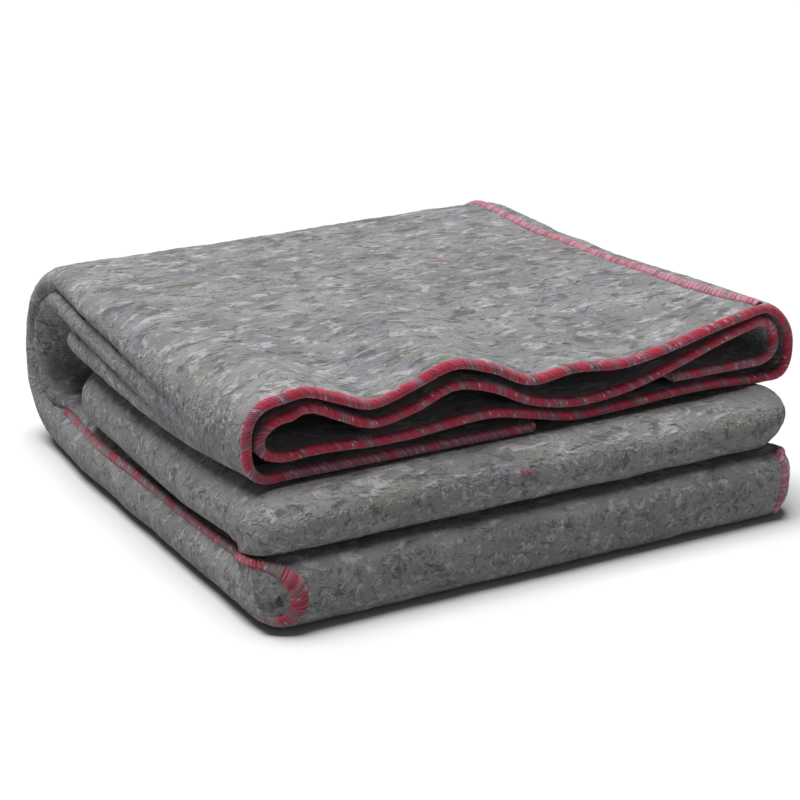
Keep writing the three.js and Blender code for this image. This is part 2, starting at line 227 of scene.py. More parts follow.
STREAKS = dict(colour=(0.03, 0.02, 0.025, 1), scale=900, edge=(0.3, 0.7), depth=0.25)
THREAD_RIDGES = 1400
THREAD_BUMP = dict(strength=0.5, distance=0.0004)
FELT_FINISH = dict(roughness=0.95, sheen=0.12)
FIBRE_FINISH = dict(roughness=0.95, sheen=0.1)
YARN_FINISH = dict(roughness=0.85, sheen=0.3)
FLOOR_FINISH = dict(roughness=0.8, sheen=0.0)
SHEEN_ROUGHNESS = 0.5
SPECULAR = 0.2
FLOOR = dict(half_side=12.0, scale=3, dark=(0.53, 0.53, 0.53, 1), pale=(0.555, 0.555, 0.555, 1))

# The photograph's camera, and soft studio light, whose spread is in degrees
VIEW_AZIMUTH = math.radians(29.5)
VIEW_ELEVATION = math.radians(18.8)
CAMERA_AT = (-678.4, -1204.9, 531.3)
SENSOR_WIDTH = 36
LENS = 90
SOFTBOXES = [
    dict(name="overhead", towards=(-0.08, 0.2, 1.0), spread=40, strength=5.85),
    dict(name="front_fill", towards=(0.0, -1.0, 0.12), spread=60, strength=0.22),
]
WORLD_LIGHT = 0.1

# Stops of the stitch bands: a deck and a place on it, then a run or turn and a place on that. Places on
# turns are in degrees.
LEFT_BAND = [
    dict(deck="bottom", place=BACK_BEND, run=LEFT_TURN, at=60, width=6),
    dict(deck="bottom", place=142, run=LEFT_TURN, at=59, width=6),
    dict(deck="bottom", place=95, run=LEFT_TURN, at=51, width=7),
    dict(deck="bottom", place=60, run=LEFT_TURN, at=43, width=7),
    dict(deck="bottom", place=-20, run=LEFT_TURN, at=34, width=7),
    dict(deck="bottom", place=FRONT_FOLD, run=LEFT_TURN, at=34, width=7),
    dict(deck="fold", place=0.15, run=LEFT_TURN, at=33, width=7),
    dict(deck="fold", place=0.38, run=LEFT_TURN, at=45, width=7),
    dict(deck="fold", place=0.46, run=LEFT_TURN, at=72, width=7),
    dict(deck="fold", place=0.455, run=LEFT_TURN, at=100, width=7),
    dict(deck="fold", place=0.455, run=LEFT_TURN, at=138, width=8),
    dict(deck="fold", place=0.42, run=LEFT_TURN, at=156, width=9),
    dict(deck="fold", place=0.35, run=LEFT_TURN, at=169, width=11),
    dict(deck="fold", place=0.27, run="top", at=-180, width=12),
    dict(deck="fold", place=0.22, run="top", at=-180, width=12),
    dict(deck="fold", place=0.165, run=LEFT_TURN, at=168, width=9),
    dict(deck="fold", place=0.13, run=LEFT_TURN, at=148, width=6),
    dict(deck="fold", place=0.115, run=LEFT_TURN, at=122, width=3.5),
]
RIGHT_BAND = [
    dict(deck="top", place=HEM_END, run="top", at=198, width=8),
    dict(deck="top", place=-150, run="top", at=198, width=10),
    dict(deck="top", place=-130, run="top", at=194, width=12),
    dict(deck="top", place=-90, run="top", at=192, width=12),
    dict(deck="top", place=0, run="top", at=194, width=11),
    dict(deck="top", place=BACK_BEND, run="top", at=190, width=10),
    dict(deck="bend", place=math.pi / 2, run=RIGHT_TURN, at=30, width=9),
    dict(deck="bottom", place=BACK_BEND, run=RIGHT_TURN, at=110, width=8),
    dict(deck="bottom", place=FRONT_FOLD, run=RIGHT_TURN, at=140, width=8),
    dict(deck="fold", place=0.15, run=RIGHT_TURN, at=135, width=8),
    dict(deck="fold", place=0.4, run=RIGHT_TURN, at=75, width=8),
    dict(deck="fold", place=0.43, run=RIGHT_TURN, at=33, width=7),
    dict(deck="fold", place=0.38, run=RIGHT_TURN, at=24, width=8),
    dict(deck="fold", place=0.29, run=RIGHT_TURN, at=26, width=8),
    dict(deck="fold", place=0.19, run=RIGHT_TURN, at=13, width=7),
    dict(deck="fold", place=0.13, run=RIGHT_TURN, at=4, width=4),
]
TRACE_STEPS = 16  # steps of a band's line from one stop to the next
SHORTEST = 1e-9  # least length that a vector is divided by


def lerp(a, b, t):
    return a + (b - a) * t


def smoothstep(x, low, high):
    t = min(max((x - low) / (high - low), 0.0), 1.0)
    return t * t * (3 - 2 * t)


def spread(first, last, count):
    return [lerp(first, last, i / (count - 1)) for i in range(count)]


# The strip: where each level lies at a place along it

def deck_height(deck, level):
    return lerp(deck[0], deck[1], (level - 1) / (LEVELS - 1))


def boxed(angle, squareness):
    """Sine and cosine of an angle up to a half turn, made boxier by a power under 1."""
    cosine = math.cos(angle)
    return max(math.sin(angle), 0) ** squareness, math.copysign(abs(cosine) ** squareness, cosine)


def half_turn(y, low, high, reach, angle, squareness=1):
    sine, cosine = boxed(angle, squareness)
    return y - reach * sine, lerp(low, high, (1 - cosine) / 2)


def nose_point(place):
    """Front fold of the outermost level: a nose, a crease and a second nose."""
    def bottom(angle):
        low, high = BOTTOM_DECK
        reach = (high - low) / 2
        high += NOSE_MEET["lower"]
        return half_turn(BOTTOM_NOSE_Y, low, high, reach, angle, NOSE_MEET["squareness"])

    def middle(angle):
        high, low = MIDDLE_DECK[0], MIDDLE_DECK[1] + NOSE_MEET["upper"]
        reach = (high - low) / 2
        centre = MIDDLE_NOSE_Y + NOSE_MEET["back"]
        if angle < math.pi / 2:
            return half_turn(centre, low, high, reach, angle)
        return half_turn(MIDDLE_SLOPE_Y, low, high, reach + MIDDLE_SLOPE_Y - centre, angle)

    if place <= NOSE_SHARE:
        return bottom(NOSE_ARC * place / NOSE_SHARE)
    if place >= 1 - NOSE_SHARE:
        return middle(math.pi - NOSE_ARC * (1 - place) / NOSE_SHARE)
    meeting = BOTTOM_DECK[1] + MIDDLE_DECK[1] + NOSE_MEET["lower"] + NOSE_MEET["upper"]
    crease = (CREASE_Y, meeting / 2)
    near = bottom(NOSE_ARC) if place < 0.5 else middle(math.pi - NOSE_ARC)
    share = abs(place - 0.5) / (0.5 - NOSE_SHARE)
    return lerp(crease[0], near[0], share), lerp(crease[1], near[1], share)


def level_point(station, level):
    """y and z of a whole-numbered level at a station, which is a deck and a place on it."""
    deck, place = station
    if deck in FLAT_DECKS:
        return place, deck_height(FLAT_DECKS[deck], level)
    low = deck_height(BOTTOM_DECK, level)
    if deck == "bend":
        radius = (deck_height(TOP_DECK, level) - low) / 2
        return BACK_BEND + radius * math.sin(place), low + radius * (1 + math.cos(place))
    if level == 1:
        return nose_point(place)
    high = deck_height(MIDDLE_DECK, level)
    return half_turn(INNER_FOLD, low, high, FOLD_BULGE[level], math.pi * place)


# The sheet: runs and turns across the strip

def frontness(y):
    """1 at the hemmed end, falling to 0 where its waves have died out."""
    return 1 - smoothstep(y, HEM_END, HEM_END + WAVE_REACH)


def wave_height(run, x):
    """Height of a long run at the hemmed end, on a smooth curve through the stations of WAVES."""
    last = len(WAVES) - 1
    hi = next((i for i, row in enumerate(WAVES) if row["x"] >= x), last)
    hi = max(hi, 1)
    lo = hi - 1

    def slope(i):
        a, b = WAVES[max(i - 1, 0)], WAVES[min(i + 1, last)]
        return (b[run] - a[run]) / (b["x"] - a["x"])

    span = WAVES[hi]["x"] - WAVES[lo]["x"]
    t = (x - WAVES[lo]["x"]) / span
    rise = WAVES[hi][run] - WAVES[lo][run]
    bend = t * (1 - t) * ((1 - t) * (slope(lo) * span - rise) - t * (slope(hi) * span - rise))
    return WAVES[lo][run] + rise * t + bend


def run_level(run, x):
    step = smoothstep(x, STEP_DOWN["low"], STEP_DOWN["high"]) if run == "under" else 0
    return RUN_LEVELS[run] + step


def run_wave(run, x):
    if run == "flap":
        return FLAP_HEIGHT
    return TAIL_HEIGHT if run == "tail" else wave_height(run, x)


def drawn_in(station, y):
    """How far the inner part of the left side lies in from its outline."""
    deck, place = station
    if deck == "bend":
        return DRAWN_IN["depth"] * (1 - smoothstep(place / math.pi, *DRAWN_IN["bend"]))
    if deck == "middle":
        return TUCK["depth"] * smoothstep(y, TUCK["from_y"], TUCKED_END)
    if deck == "top":
        return DRAWN_IN["depth"] * smoothstep(y, DRAWN_IN["from_y"], DRAWN_IN["to_y"])
    return 0


def run_point(run, x, station):
    """Mid-cloth point of a run at an x and a station, before the packet's sags are added."""
    level = run_level(run, x)
    lower = math.floor(level)
    share = level - lower
    y, z = level_point(station, lower)
    if share > 0:
        other = level_point(station, lower + 1)
        y, z = lerp(y, other[0], share), lerp(z, other[1], share)
    front = frontness(y)
    stays = run == "top" and station[0] != "middle"
    inside = 0 if stays else 1 - smoothstep(x, LEFT_TURN["x"], DRAWN_IN["fade_x"])
    shifted = x + inside * drawn_in(station, y)
    z = HALF + (z - HALF) * (1 + HEIGHT_LEAN * (x / HALF_WIDTH))
    if station[0] == "top":
        z = lerp(z, run_wave(run, x), front)
    return shifted, y, z


def crease_strength(deck, y):
    if deck == "bend":
        return 1
    return smoothstep(y, *CREASE_FADE[deck]) if deck in CREASE_FADE else 0


def left_side_push(station, y, share):
    """How far the left side is pushed in at a share of its height, counted from level 1."""
    deck, place = station
    forward = min(max((BACK_BEND - y) / (BACK_BEND - HEM_END), 0), 1)
    travel = forward if deck == "top" else 0
    round_it = {"top": 0, "bend": place / math.pi}.get(deck, 1)
    start = WHOLE_SIDE if deck == "middle" else lerp(DRAWN_IN["back"], DRAWN_IN["under"], round_it)
    push = drawn_in(station, y) * smoothstep(share, start, start + DRAWN_IN["spread"])
    for crease in SIDE_CREASES:
        here = lerp(lerp(crease["back"], crease["under"], round_it), crease["front"], travel)
        off = (share - here) / crease["spread"]
        push += crease["depth"] * crease_strength(deck, y) * math.exp(-off * off)
    return push


def turn_point(turn, angle, station):
    """Mid-cloth point of a turn between two runs, at an angle and a station."""
    start = run_point(turn["runs"][0], turn["x"], station)
    end = run_point(turn["runs"][1], turn["x"], station)
    height = math.hypot(end[1] - start[1], end[2] - start[2])
    rounded = min(abs(turn["bulge"]), turn["roundest"] * height)
    if turn is INNER_LEFT_TURN and station[0] == "top":
        rounded += INNER_REACH["out"] * (1 - smoothstep(start[1], HEM_END, HEM_END + INNER_REACH["fade"]))
    bulge = math.copysign(rounded, turn["bulge"])
    sine, cosine = boxed(angle, turn["squareness"])
    along = (1 - cosine) / 2
    x, y, z = (lerp(a, b, along) for a, b in zip(start, end))
    if turn is LEFT_TURN:
        x = turn["x"] + left_side_push(station, y, 1 - along)
    return x + bulge * sine, y, z


def pressed(column, station):
    """How far a place is pressed into the crease between the noses, from 0 to 1."""
    kind, x = column
    if kind != "top" or station[0] != "fold":
        return 0
    share = max(1 - abs(station[1] - 0.5) / (0.5 - NOSE_SHARE), 0)
    inside = min(x - LEFT_TURN["x"], RIGHT_TURN["x"] - x)
    return share * smoothstep(inside, 0, CREASE_PRESS["fade"])


def sheet_point(column, station):
    """Mid-cloth point where a column of the sheet, a run or turn and a place on it, meets a station."""
    kind, place = column
    point = turn_point if isinstance(kind, dict) else run_point
    x, y, z = point(kind, place, station)
    y += CREASE_PRESS["depth"] * pressed(column, station)
    wide = frontness(y) if station[0] == "top" else 0
    sag = SAG["spread"] * (1 - smoothstep(z, SAG["from_z"], SAG["to_z"]))
    x -= sag * smoothstep(-x, SAG["low"], SAG["high"])
    x -= FLARE["right"] * smoothstep(x, FLARE["low"], FLARE["high"]) * (1 - wide)
    narrower = BACK_NARROW["by"] * smoothstep(y, BACK_NARROW["low"], BACK_NARROW["high"])
    x += (FLARE["left"] * wide + narrower) * smoothstep(-x, FLARE["low"], FLARE["high"])
    shoulder = SHOULDER["drop"] * smoothstep(x, SHOULDER["low"], SHOULDER["high"]) * (1 - wide)
    shoulder *= 1 - smoothstep(y, SHOULDER["full_y"], SHOULDER["end_y"])
    z -= shoulder * smoothstep(z, SHOULDER["from_z"], SHOULDER["to_z"])
    z -= RIGHT_HANG["drop"] * smoothstep(x, RIGHT_HANG["low"], RIGHT_HANG["high"]) * wide
    if station[0] in ("fold", "middle"):
        lift = MIDDLE_LIFT["rise"] * smoothstep(x, MIDDLE_LIFT["low"], MIDDLE_LIFT["high"])
        z += lift * smoothstep(z, MIDDLE_LIFT["from_z"], MIDDLE_LIFT["to_z"])
    droop = DROOP["drop"] * smoothstep(-x, DROOP["from_x"], DROOP["to_x"])
    droop *= smoothstep(y, DROOP["front"], DROOP["most"])
    droop *= 1 - smoothstep(y, DROOP["most"], DROOP["back"])
    return x, y, z - droop * smoothstep(z, HALF, DROOP["high"])


def half_thickness(column, station):
    """Half the cloth's thickness, less in the crease and at the corners of the front fold."""
    kind, angle = column
    deck, place = station
    if deck != "fold":
        return HALF
    if not isinstance(kind, dict):
        return HALF * (1 - CREASE_PRESS["pinch"] * pressed(column, station))
    squeeze = CORNER_SQUEEZE * math.sin(math.pi * (FOLD_STEPS * place + 1) / (FOLD_STEPS + 2))
    return HALF * (1 - squeeze * math.sin(angle))


def sheet_columns():
    """Columns of the grid, from the flap's end to the tail's: a run or turn and a place on it."""
    def run(name, first, last):
        return [(name, x) for x in spread(first, last, RUN_STEPS[name])]

    def turn(which, count):
        return [(which, angle) for angle in spread(0, math.pi, count + 2)[1:-1]]

    left, right = LEFT_TURN["x"], RIGHT_TURN["x"]
    inner_left, inner_right = INNER_LEFT_TURN["x"], INNER_RIGHT_TURN["x"]
    return [
        *run("flap", FLAP_END, left),
        *turn(LEFT_TURN, OUTER_TURN_STEPS["left"]),
        *run("top", left, right),
        *turn(RIGHT_TURN, OUTER_TURN_STEPS["right"]),
        *run("under", right, inner_left),
        *turn(INNER_LEFT_TURN, INNER_TURN_STEPS),
        *run("second", inner_left, inner_right),
        *turn(INNER_RIGHT_TURN, INNER_TURN_STEPS),
        *run("tail", inner_right, TAIL_END),
    ]


def sheet_stations():
    """Stations of the grid, from the hemmed end to the tucked one: a deck and a place on it."""
    def deck(name, first, last, count):
        return [(name, place) for place in spread(first, last, count)]

    steps = DECK_STEPS
    fine_end = HEM_END + FINE_REACH
    return [
        *deck("top", HEM_END, fine_end, steps["hem"])[:-1],
        *deck("top", fine_end, BACK_BEND, steps["top"]),
        *deck("bend", 0, math.pi, steps["bend"])[1:-1],
        *deck("bottom", BACK_BEND, FRONT_FOLD, steps["bottom"]),
        *deck("fold", 0, NOSE_SHARE, steps["nose"]),
        *[("fold", place) for place in CREASE_STOPS],
        *deck("fold", 1 - NOSE_SHARE, 1, steps["nose"]),
        *deck("middle", FRONT_FOLD, TUCKED_END, steps["middle"]),
    ]


def unit(vectors):
    return vectors / np.maximum(np.linalg.norm(vectors, axis=-1, keepdims=True), SHORTEST)


def lump_height(point):
    return sum(row["height"] * noise.noise(Vector(point) / row["size"]) for row in LUMPS)


def grid_place(entries, kind, place):
    """Fractional index of a place on a kind of station or column."""
    found = sorted((entry[1], i) for i, entry in enumerate(entries) if entry[0] == kind)
    return np.interp(place, [stop for stop, _ in found], [i for _, i in found])


def in_radians(stop):
    return math.radians(stop["at"]) if isinstance(stop["run"], dict) else stop["at"]


def smoothed(values):
    """Values with their corners rounded by a running mean."""
    padded = np.pad(values, TRACE_STEPS // 2, mode="edge")
    return np.convolve(padded, np.ones(TRACE_STEPS + 1) / (TRACE_STEPS + 1), mode="valid")


class Sheet:
    """Grid of the cloth: mid-cloth points, normals and half thickness, by station and column."""

    def __init__(self):
        self.columns = sheet_columns()
        self.stations = sheet_stations()
        self.points = np.array([[sheet_point(c, s) for c in self.columns] for s in self.stations])
        self.half = np.array([[half_thickness(c, s) for c in self.columns] for s in self.stations])
        off = np.linalg.norm(self.points - CURL_HOLLOW["at"], axis=2) / CURL_HOLLOW["radius"]
        self.points += np.exp(-off * off)[..., None] * CURL_HOLLOW["into"]
        self.turn_normals()
        self.lumps = np.array([[lump_height(p) for p in row] for row in self.points])
        self.lumps *= self.half / HALF
        self.thin_edges()

    def turn_normals(self):
        self.across = unit(np.gradient(self.points, axis=1))
        self.along = unit(np.gradient(self.points, axis=0))
        self.normals = unit(np.cross(self.across, self.along))

    def thin_edges(self):
        """Thinner cloth along the rim, under the wraps."""
        for axis in (0, 1):
            steps = np.linalg.norm(np.diff(self.points, axis=axis), axis=2)
            reach = np.cumsum(np.insert(steps, 0, 0, axis=axis), axis=axis)
            total = reach[-1:] if axis == 0 else reach[:, -1:]
            near = np.clip(np.minimum(reach, total - reach) / THIN_REACH, 0, 1)
            self.half *= 1 - EDGE_THIN * (1 - near)

    def face(self, side):
        offset = side * self.half + self.lumps
        return self.points + self.normals * offset[..., None]

    def rim_loop(self):
        """Row and column of each point of the rim, in order, with the way out of the cloth there."""
        rows, cols = self.half.shape
        loop = [(0, c) for c in range(cols)] + [(r, cols - 1) for r in range(1, rows)]
        loop += [(rows - 1, c) for c in range(cols - 2, -1, -1)] + [(r, 0) for r in range(rows - 2, 0, -1)]
        out = []
        for r, c in loop:
            way = np.zeros(3)
            way += {0: -1, rows - 1: 1}.get(r, 0) * self.along[r, c]
            way += {0: -1, cols - 1: 1}.get(c, 0) * self.across[r, c]
            out.append(way)
        return loop, unit(np.array(out))

    def sample(self, field, rows, cols):
        """Values of a grid at fractional rows and columns."""
        r = np.clip(np.floor(rows).astype(int), 0, field.shape[0] - 2)
        c = np.clip(np.floor(cols).astype(int), 0, field.shape[1] - 2)
        down, right = (rows - r)[:, None], (cols - c)[:, None]
        upper = field[r, c] * (1 - right) + field[r, c + 1] * right
        lower = field[r + 1, c] * (1 - right) + field[r + 1, c + 1] * right
        return upper * (1 - down) + lower * down

    def trace(self, stops):
        """Points of the outer face, normals and widths along a smooth line through stops on the grid."""
        rows = [grid_place(self.stations, stop["deck"], stop["place"]) for stop in stops]
        cols = [grid_place(self.columns, stop["run"], in_radians(stop)) for stop in stops]
        legs = np.linspace(0, len(stops) - 1, TRACE_STEPS * (len(stops) - 1) + 1)
        ends = np.arange(len(stops))
        rows, cols, widths = (
            smoothed(np.interp(legs, ends, values))
            for values in (rows, cols, [stop["width"] for stop in stops])
        )
        return self.sample(self.face(1), rows, cols), unit(self.sample(self.normals, rows, cols)), widths

    def exposure(self):
        """Share of the fibres for each place of the grid: its area, 0 where another layer covers it."""
        across, along = np.gradient(self.points, axis=1), np.gradient(self.points, axis=0)
        area = np.linalg.norm(np.cross(across, along), axis=2)
        area *= np.array([FRONT_FIBRES if deck == "fold" else 1 for deck, _ in self.stations])[:, None]
        sides = np.array([kind is LEFT_TURN or kind is RIGHT_TURN for kind, _ in self.columns])
        top = np.array([kind == "top" for kind, _ in self.columns])
        shown = np.array([deck in ("top", "bend", "fold") for deck, _ in self.stations])
        return area * (sides[None, :] | shown[:, None] & top[None, :])

    def lay(self, rows, cols, angles, lengths, bends):
        """Curved paths on the outer face, each round a place on the grid, and the normals along them."""
        steps = np.linspace(-0.5, 0.5, FIBRE_POINTS) * lengths[:, None]
        bow = bends[:, None] * steps ** 2 / 2
        turn = angles[:, None]
        near = np.rint(rows).astype(int), np.rint(cols).astype(int)
        wide = np.linalg.norm(np.gradient(self.points, axis=1), axis=2)[near][:, None]
        long = np.linalg.norm(np.gradient(self.points, axis=0), axis=2)[near][:, None]
        rows = rows[:, None] + (steps * np.sin(turn) + bow * np.cos(turn)) / long
        cols = cols[:, None] + (steps * np.cos(turn) - bow * np.sin(turn)) / wide
        rows = np.clip(rows, 0, self.half.shape[0] - 1).ravel()
        cols = np.clip(cols, 0, self.half.shape[1] - 1).ravel()
        shape = len(lengths), FIBRE_POINTS, 3
        normals = unit(self.sample(self.normals, rows, cols)).reshape(shape)
        return self.sample(self.face(1), rows, cols).reshape(shape), normals


# Pieces

def new_piece(name, points, faces, material, tints=None):
    """A smooth mesh object from points in millimetres, riding on the root body."""
    mesh = bpy.data.meshes.new(name)
    mesh.from_pydata((np.asarray(points) * MM).tolist(), [], [list(map(int, face)) for face in faces])
    mesh.shade_smooth()
    if tints is not None:
        layer = mesh.color_attributes.new("tint", "FLOAT_COLOR", "POINT")
        layer.data.foreach_set("color", np.asarray(tints, dtype=np.float32).ravel())
    mesh.materials.append(material)
    piece = bpy.data.objects.new(name, mesh)
    bpy.context.collection.objects.link(piece)
    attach(piece, "root")
    return piece


def make_blanket(sheet, material):
    """The cloth itself: its two faces, joined by a rounded rim."""
    rows, cols = sheet.half.shape
    size = rows * cols
    index = np.arange(size).reshape(rows, cols)
    cells = np.stack([index[:-1, :-1], index[:-1, 1:], index[1:, 1:], index[1:, :-1]], axis=-1)
    cells = cells.reshape(-1, 4)
    loop, ways = sheet.rim_loop()
    picked = tuple(np.array(loop).T)
    middle = sheet.points[picked] + sheet.normals[picked] * sheet.lumps[picked][:, None]
    half = sheet.half[picked][:, None]
    rings = [index[picked]]
    rim_points = []
    for step in range(1, RIM_STEPS):
        angle = math.pi * step / RIM_STEPS
        bulge = np.cos(angle) * sheet.normals[picked] + np.sin(angle) * ways
        rings.append(2 * size + len(rim_points) * len(loop) + np.arange(len(loop)))
        rim_points.append(middle + half * bulge)
    rings.append(size + index[picked])
    faces = [*cells, *(size + cells[:, ::-1])]
    for upper, lower in zip(rings, rings[1:]):
        faces += np.stack([np.roll(upper, -1), upper, lower, np.roll(lower, -1)], axis=-1).tolist()
    points = np.concatenate([sheet.face(1).reshape(-1, 3), sheet.face(-1).reshape(-1, 3), *rim_points])
    return new_piece("blanket_sheet", points, faces, material)


# Yarn

def tubes(paths, sideways, radius, sides):
    """Points and faces of many closed tubes; paths is tubes by points by 3, sideways one vector a tube."""
    count, steps, _ = paths.shape
    along = unit(np.gradient(paths, axis=1))
    side = sideways[:, None, :] - along * (along * sideways[:, None, :]).sum(axis=2, keepdims=True)
    side = unit(side)
    up = np.cross(along, side)
    turns = np.arange(sides) * 2 * math.pi / sides
    ring = side[:, :, None] * np.cos(turns)[:, None] + up[:, :, None] * np.sin(turns)[:, None]
    points = (paths[:, :, None] + radius * ring).reshape(-1, 3)
    index = np.arange(count * steps * sides).reshape(count, steps, sides)
    after = np.roll(index, -1, axis=2)
    walls = np.stack([index[:, :-1], after[:, :-1], after[:, 1:], index[:, 1:]], axis=-1).reshape(-1, 4)
    ends = [*index[:, 0, ::-1], *index[:, -1]]
    return points, [*walls, *ends]


class Seam:
    """A line along the cloth, with the ways out across it and up from the cloth, and a width."""

    def __init__(self, points, out, up, widths):
        steps = np.linalg.norm(np.diff(points, axis=0), axis=1)
        self.reach = np.concatenate([[0], np.cumsum(steps)])
        self.fields = np.concatenate([points, out, up, widths[:, None]], axis=1)

    def at(self, places):
        """Points, ways out and up, and widths, at lengths along the seam."""
        values = np.stack([np.interp(places, self.reach, column) for column in self.fields.T], axis=-1)
        return values[..., :3], unit(values[..., 3:6]), unit(values[..., 6:9]), values[..., 9:]


def shade_near_ends(end_shade, before, after):
    """How much duller and darker the yarn is painted as shade, from the seam's lengths before and after a
    strand.
    """
    unshaded = smoothstep(before, *end_shade["start"]) * smoothstep(after, *end_shade["end"])
    return end_shade["by"] * (1 - unshaded)


def yarn_tints(count, steps, look, draw):
    """A colour for every point of the strands, in bright and dull stretches with pale flecks."""
    colours = np.ones((count, steps, YARN_SIDES, 4))
    start = draw.uniform(0, STRETCH_STARTS)
    for i in range(count):
        stretch = noise.noise(Vector((start + i * STRAND_PITCH / look["stretch"], 0, 0)))
        stretch += draw.uniform(-STRETCH_RAGGED, STRETCH_RAGGED) - look["dull_below"]
        # Painted shade: the yarn is duller and darker near the seam's ends
        if "end_shade" in look:
            stretch -= shade_near_ends(look["end_shade"], i * STRAND_PITCH, (count - 1 - i) * STRAND_PITCH)
        dull, bright = np.array(draw.choice(look["dull"])), np.array(draw.choice(look["bright"]))
        colours[i, ..., :3] = lerp(dull, bright, smoothstep(stretch, -STRETCH_SOFT, STRETCH_SOFT))
        if draw.random() < FLECK_SHARE:
            colours[i, draw.randrange(steps), :, :3] = FLECK
    return colours.reshape(-1, 4)


def make_strands(name, seam, profile, slant, look, material, draw):
    """Strands laid side by side across a seam; profile gives their places out across it and up."""
    count = int((seam.reach[-1] + slant) / STRAND_PITCH)
    middles = (np.arange(count) + 0.5) * STRAND_PITCH - slant / 2
    middles += [draw.uniform(-STRAND_JITTER, STRAND_JITTER) for _ in middles]
    lean = np.linspace(-0.5, 0.5, len(profile)) * slant
    points, out, up, widths = seam.at(middles[:, None] + lean)
    across, height = np.array(profile).T
    paths = points + out * (across[:, None] * widths) + up * height[:, None]
    ahead = unit(paths[:, -1] - paths[:, 0])
    sideways = np.cross(ahead, up[:, len(profile) // 2])
    verts, faces = tubes(paths, unit(sideways), YARN_RADIUS, YARN_SIDES)
    tints = yarn_tints(count, len(profile), look, draw)
    return new_piece(name, verts, faces, material, tints)


def make_edge_yarn(name, points, normals, ways, material, draw):
    """Overlock wraps round one edge of the cloth."""
    leg = [(-WRAP_DEPTH, EDGE_REACH - WRAP_SINK), (-WRAP_DEPTH / 2, EDGE_REACH)]
    arc = np.linspace(0, math.pi, WRAP_STEPS)
    profile = leg + [(EDGE_REACH * math.sin(a), EDGE_REACH * math.cos(a)) for a in arc]
    profile += [(across, -height) for across, height in reversed(leg)]
    seam = Seam(points, ways, normals, np.ones(len(points)))
    return make_strands(name, seam, profile, WRAP_SLANT, EDGE_LOOK, material, draw)


def make_band(name, sheet, stops, look, material, draw):
    """A band of stitches on the outer face of the folded cloth."""
    points, normals, widths = sheet.trace(stops)
    out = unit(np.cross(np.gradient(points, axis=0), normals))
    fall = look["rise"] + BAND_SINK
    profile = [(t, look["rise"] - fall * (2 * t) ** 2) for t in np.linspace(-0.5, 0.5, BAND_STEPS)]
    seam = Seam(points, out, normals, widths)
    return make_strands(name, seam, profile, BAND_SLANT, look, material, draw)


def make_hems(sheet, material, draw):
    """Wraps round the cloth's four edges, and the bands of stitches along the packet's sides."""
    edges = {
        "hem_yarn_front": (0, slice(None), -sheet.along[0]),
        "hem_yarn_tucked": (-1, slice(None), sheet.along[-1]),
        "hem_yarn_flap": (slice(None), 0, -sheet.across[:, 0]),
        "hem_yarn_tail": (slice(None), -1, sheet.across[:, -1]),
    }
    hems = [
        make_edge_yarn(name, sheet.points[row, col], sheet.normals[row, col], ways, material, draw)
        for name, (row, col, ways) in edges.items()
    ]
    hems.append(make_band("side_stitches_left", sheet, LEFT_BAND, LEFT_LOOK, material, draw))
    hems.append(make_band("side_stitches_right", sheet, RIGHT_BAND, RIGHT_LOOK, material, draw))
    return hems


# Loose wool and yarn on the felt

def make_laid(name, sheet, rows, cols, angles, lengths, tints, material, rng):
    """Curved threads lying on the felt, with their ends sunk into it."""
    bends = rng.normal(0, FIBRE_BEND, len(rows))
    paths, normals = sheet.lay(rows, cols, angles, lengths, bends)
    ends = np.linspace(-1, 1, FIBRE_POINTS) ** 2
    paths += normals * (FIBRE_RADIUS / 2 - FIBRE_SINK * ends)[:, None]
    sideways = np.cross(paths[:, -1] - paths[:, 0], normals[:, 0])
    verts, faces = tubes(paths, unit(sideways), FIBRE_RADIUS, FIBRE_SIDES)
    colours = np.ones((len(rows), FIBRE_POINTS * FIBRE_SIDES, 4))
    colours[..., :3] = np.array(tints)[:, None]
    return new_piece(name, verts, faces, material, colours)


def make_fibres(sheet, material, rng):
    """Wool fibres all over the outside, short and in all directions on the front fold."""
    weights = sheet.exposure().ravel()
    picked = rng.choice(len(weights), FIBRE_COUNT, p=weights / weights.sum())
    rows, cols = np.divmod(picked, sheet.half.shape[1])
    folded = np.array([deck == "fold" for deck, _ in sheet.stations])[rows]
    angles = np.where(folded, rng.uniform(0, math.pi, FIBRE_COUNT), rng.normal(0, FIBRE_TURN, FIBRE_COUNT))
    rows = np.clip(rows + rng.uniform(-0.5, 0.5, FIBRE_COUNT), 1, sheet.half.shape[0] - 2)
    cols = cols + rng.uniform(-0.5, 0.5, FIBRE_COUNT)
    shares = rng.random(FIBRE_COUNT)
    lengths = np.where(folded, lerp(*FIBRE_LENGTHS["front"], shares), lerp(*FIBRE_LENGTHS["rest"], shares))
    tints = np.array(FIBRE_TINTS)[rng.integers(len(FIBRE_TINTS), size=FIBRE_COUNT)]
    return make_laid("felt_fibres", sheet, rows, cols, angles, lengths, tints, material, rng)


def make_strays(sheet, material, rng):
    """Small tufts of red yarn caught in the felt."""
    rows, cols = [], []
    for stray in STRAYS:
        rows += [grid_place(sheet.stations, stray["deck"], stray["place"])] * stray["count"]
        cols += [grid_place(sheet.columns, stray["run"], stray["at"])] * stray["count"]
    count = len(rows)
    rows = np.array(rows) + rng.normal(0, STRAY_SCATTER, count)
    cols = np.array(cols) + rng.normal(0, STRAY_SCATTER, count)
    angles = rng.normal(0, FIBRE_TURN, count)
    lengths = rng.uniform(*STRAY_LENGTHS, count)
    tints = np.array(REDS)[rng.integers(len(REDS), size=count)]
    return make_laid("stray_yarn", sheet, rows, cols, angles, lengths, tints, material, rng)


# Materials

